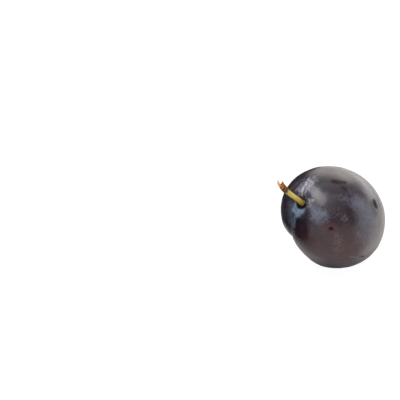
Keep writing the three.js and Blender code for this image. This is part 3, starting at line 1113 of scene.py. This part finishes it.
# %% [markdown]
# The stalk is green wood that has begun to dry: yellow-green along the shaft, tan at the foot, and
# brown on the corky knuckle. The torn face shows amber wood, and the strip of bark is paler still. The
# colours could be painted on the mesh, but the distance from the foot and from the tear says as well
# which is which. Each range below is that distance from and to, and the colour's share at both ends.

# %% The stalk's wood
SHAFT = (0.60, 0.44, 0.05, 1)
SHAFT_PALE = (0.82, 0.70, 0.22, 1)
FOOT_TAN = (0.44, 0.30, 0.10, 1)
CORK = (0.050, 0.015, 0.005, 1)
CORK_PALE = (0.26, 0.09, 0.015, 1)
AMBER = (0.72, 0.29, 0.02, 1)
STRIP = (0.90, 0.58, 0.34, 1)
LUMP_SCALE = 900
EDGE_WANDER = 1.6 * MM
FIBRE_STRENGTH = 0.6
FOOT_RANGE = (0.0, 4.5 * MM, 0.8, 0.0)
CORK_RANGE = (12.0 * MM, 12.9 * MM, 0.0, 1.0)
TORN_RANGE = (-0.25 * MM, 0.05 * MM, 0.0, 1.0)
STRIP_RANGE = (0.7 * MM, 1.6 * MM, 0.0, 1.0)
CORK_LUMPS = (0.42, 0.62)
TORN_LUMPS = (0.42, 0.58)
WOOD_ROUGHNESS = (11 * MM, 13 * MM, 0.42, 0.75)
FIBRE_RELIEF = 0.03 * MM
LUMP_RELIEF = 0.08 * MM
WOOD_RELIEF_STRENGTH = 0.7

wood_material, sheet, wood_shader, place = new_material("stalk_wood")
foot = lying @ (STALK_FOOT * MM)
torn = lying @ (break_point * MM)
torn_way = lying.to_3x3() @ break_normal
stalk_way = (lying @ (stalk_point(KNUCKLE_START) * MM) - foot).normalized()
up_stalk = sheet.vector("DISTANCE", place, foot)
over_tear = sheet.dot(sheet.vector("SUBTRACT", place, torn), torn_way)
lumps = sheet.noise(place, LUMP_SCALE, detail=4, roughness=0.65)
fibres = grouped(
    sheet, line_group, Place=place, Along=stalk_way, Stretch=9.0, Scale=2600.0, Amount=2.0
)
wander = sheet.math("MULTIPLY_ADD", sheet.math("SUBTRACT", lumps, 0.5), EDGE_WANDER, up_stalk)
colour = sheet.blend(sheet.times(fibres, FIBRE_STRENGTH), SHAFT, SHAFT_PALE)
colour = sheet.blend(sheet.spread(wander, *FOOT_RANGE), colour, FOOT_TAN)
cork_colour = sheet.blend(sheet.spread(lumps, *CORK_LUMPS), CORK, CORK_PALE)
colour = sheet.blend(sheet.spread(wander, *CORK_RANGE), colour, cork_colour)
torn_colour = sheet.blend(sheet.spread(lumps, *TORN_LUMPS), AMBER, CORK_PALE)
colour = sheet.blend(sheet.spread(over_tear, *TORN_RANGE), colour, torn_colour)
colour = sheet.blend(sheet.spread(over_tear, *STRIP_RANGE), colour, STRIP)
sheet.feed(wood_shader.inputs["Base Color"], colour)
sheet.feed(wood_shader.inputs["Roughness"], sheet.spread(up_stalk, *WOOD_ROUGHNESS))
relief = sheet.math("MULTIPLY_ADD", fibres, FIBRE_RELIEF, sheet.times(lumps, LUMP_RELIEF))
relieve(sheet, wood_shader, relief, WOOD_RELIEF_STRENGTH)
stalk.data.materials.clear()
stalk.data.materials.append(wood_material)
print("the stalk's material has", len(sheet.tree.nodes), "nodes")

# %% [markdown]
# The plum lies on a white surface in soft daylight. In full light such a surface burns out to plain
# white, and only a trace of a shadow is left. A bright enough lamp would burn out the plum as well, so
# the floor's shader shows the camera mostly an even glow, and everything else a matt white floor.

# %% The floor
FLOOR_SIZE = 3.0
FLOOR_WHITE = 0.7
MATT = 0.9
SHADOW_TRACE = 0.2
FLOOR_GLOW = 1.2

bpy.ops.object.select_all(action="DESELECT")
bpy.ops.mesh.primitive_plane_add(size=FLOOR_SIZE, location=(0, 0, 0))
floor = bpy.context.object
floor.name = "floor"
floor_material, sheet, floor_shader, place = new_material("white_floor")
floor_shader.inputs["Base Color"].default_value = (FLOOR_WHITE, FLOOR_WHITE, FLOOR_WHITE, 1)
floor_shader.inputs["Roughness"].default_value = MATT
glow = sheet.node("ShaderNodeEmission")
glow.inputs["Strength"].default_value = FLOOR_GLOW
seen_floor = sheet.node("ShaderNodeMixShader")
camera_ray = sheet.node("ShaderNodeLightPath").outputs["Is Camera Ray"]
sheet.feed(seen_floor.inputs[0], sheet.times(camera_ray, 1 - SHADOW_TRACE))
sheet.feed(seen_floor.inputs[1], floor_shader.outputs[0])
sheet.feed(seen_floor.inputs[2], glow.outputs[0])
surface = next(n for n in sheet.tree.nodes if n.type == "OUTPUT_MATERIAL").inputs["Surface"]
sheet.feed(surface, seen_floor.outputs[0])
floor.data.materials.append(floor_material)
print("the floor is", FLOOR_SIZE, "m wide")

# %% [markdown]
# A dark, glossy skin mirrors whatever stands round it, and a studio darkens one side of such a thing with
# black cards. Three black balls do that here: two low ones before the hollow and the groove, and a higher
# one behind them. Each has a dark shade on the floor. Both fade out at their edges, so the skin mirrors no
# hard outline. The camera doesn't see them, and they cast no shadow.

# %% Black balls
BALL_RADIUS = 22 * MM
BALL_SEGMENTS = 32
BALL_RINGS = 16
BALL_EDGE = (0.5, 0.98, 1.0, 0.0)
SHADE_RADIUS = 28 * MM
SHADE_SIDES = 48
SHADE_EDGE = (0.3 * SHADE_RADIUS, SHADE_RADIUS, 1.0, 0.0)
SHADE_HEIGHT = 0.2 * MM
BLACK = (0.006, 0.005, 0.007, 1)
# Each ball: azimuth in degrees, distance from the fruit's middle, and the height of its own middle.
BALLS = {
    "black_ball_low": (40, 47 * MM, 22 * MM),
    "black_ball_near": (76, 50 * MM, 18 * MM),
    "black_ball_far": (-12, 50 * MM, 34 * MM),
}


def way_to(azimuth, rise):
    """The direction of an azimuth and a rise, in degrees. Azimuth 0 is towards -Y."""
    turned, raised = math.radians(azimuth), math.radians(rise)
    level = math.cos(raised)
    return Vector((math.sin(turned) * level, -math.cos(turned) * level, math.sin(raised)))


def black_material(name):
    """A matt black material that is still without its soft edge."""
    material, sheet, shader, place = new_material(name)
    shader.inputs["Base Color"].default_value = BLACK
    shader.inputs["Roughness"].default_value = MATT
    return material, sheet, shader, place


ball_black, sheet, ball_shader, place = black_material("black_ball")
facing = sheet.node("ShaderNodeLayerWeight").outputs["Facing"]
sheet.feed(ball_shader.inputs["Alpha"], sheet.spread(facing, *BALL_EDGE))
shade_black, sheet, shade_shader, place = black_material("black_shade")
sheet.feed(shade_shader.inputs["Alpha"], sheet.spread(sheet.vector("LENGTH", place), *SHADE_EDGE))
for name, (azimuth, distance, height) in BALLS.items():
    spot = Vector((fruit_centre.x, fruit_centre.y, height)) + way_to(azimuth, 0) * distance
    bpy.ops.object.select_all(action="DESELECT")
    bpy.ops.mesh.primitive_uv_sphere_add(
        segments=BALL_SEGMENTS, ring_count=BALL_RINGS, radius=BALL_RADIUS, location=spot
    )
    ball = bpy.context.object
    ball.name = name
    ball.data.materials.append(ball_black)
    bpy.ops.object.shade_smooth()
    bpy.ops.object.select_all(action="DESELECT")
    bpy.ops.mesh.primitive_circle_add(
        vertices=SHADE_SIDES,
        radius=SHADE_RADIUS,
        fill_type="NGON",
        location=(spot.x, spot.y, SHADE_HEIGHT),
    )
    shade = bpy.context.object
    shade.name = name + "_shade"
    shade.data.materials.append(shade_black)
    for card in (ball, shade):
        card.visible_camera = False
        card.visible_shadow = False
    print(name, "at", [round(c / MM, 1) for c in spot])

# %% [markdown]
# Lamps would leave sharp bright dots on the skin, so all the light comes from a soft room. It is a dim
# white world with three broad spots of light: one high over the hollow, which makes the sheen on the
# shoulder, one beside it, and a wide one above. A bright low wall behind the right cheek makes the bright
# rim, and a dark corner keeps the left side deep. Each fades out smoothly, so no edge of it shows in the
# skin. To the camera the room is plain white.

# %% The room
ROOM_DIM = 0.4
ROOM_TINT = (1, 0.965, 0.945, 1)
WALL_AZIMUTH = -101
WALL_SPREAD = (0.4, 0.97)
WALL_STRENGTH = 2.2
WALL_FADE_START = 0.1
WALL_TOP = 34
BACKDROP = 1.2
WHITE = (1, 1, 1, 1)
# Each light: azimuth and rise of its middle, its inner and outer angle in degrees, and its strength.
ROOM_LIGHTS = {
    "over_the_hollow": (46, 59, 8, 22, 6.6),
    "beside_it": (110, 67, 6, 22, 4.6),
    "wide_and_high": (90, 75, 20, 56, 0.7),
}
# The dark corner is given in the same way, and its strength is what it takes away.
DARK_CORNER = (25, 38, 18, 42, 0.92)

world = bpy.data.worlds.new("white_room")
world.use_nodes = True
world.node_tree.nodes.clear()
sheet = Sheet(world.node_tree)
way = sheet.node("ShaderNodeTexCoord").outputs["Generated"]


def spot_in_room(azimuth, rise, inner, outer, strength):
    """A smooth spot of light in the room, at its full strength inside its inner angle."""
    facing = sheet.dot(way, way_to(azimuth, rise))
    outer_edge, inner_edge = math.cos(math.radians(outer)), math.cos(math.radians(inner))
    return sheet.spread(facing, outer_edge, inner_edge, 0.0, strength)


towards_wall = sheet.dot(way, way_to(WALL_AZIMUTH, 0))
wall = sheet.spread(towards_wall, *WALL_SPREAD, 0.0, WALL_STRENGTH)
above = sheet.dot(way, (0, 0, 1))
below_top = sheet.spread(above, WALL_FADE_START, math.sin(math.radians(WALL_TOP)), 1.0, 0.0)
strength = sheet.plus(sheet.times(wall, below_top), ROOM_DIM)
left_of_light = sheet.left_by(spot_in_room(*DARK_CORNER))
strength = sheet.times(strength, left_of_light)
for light in ROOM_LIGHTS.values():
    strength = sheet.plus(strength, spot_in_room(*light))
room = sheet.node("ShaderNodeBackground")
sheet.feed(room.inputs["Strength"], strength)
room.inputs["Color"].default_value = ROOM_TINT
seen = sheet.node("ShaderNodeBackground")
seen.inputs["Color"].default_value = WHITE
seen.inputs["Strength"].default_value = BACKDROP
either = sheet.node("ShaderNodeMixShader")
sheet.feed(either.inputs[0], sheet.node("ShaderNodeLightPath").outputs["Is Camera Ray"])
sheet.feed(either.inputs[1], room.outputs[0])
sheet.feed(either.inputs[2], seen.outputs[0])
sheet.feed(sheet.node("ShaderNodeOutputWorld").inputs["Surface"], either.outputs[0])
bpy.context.scene.world = world
bpy.context.scene.view_settings.view_transform = "Standard"
print("the room has", len(sheet.tree.nodes), "nodes")
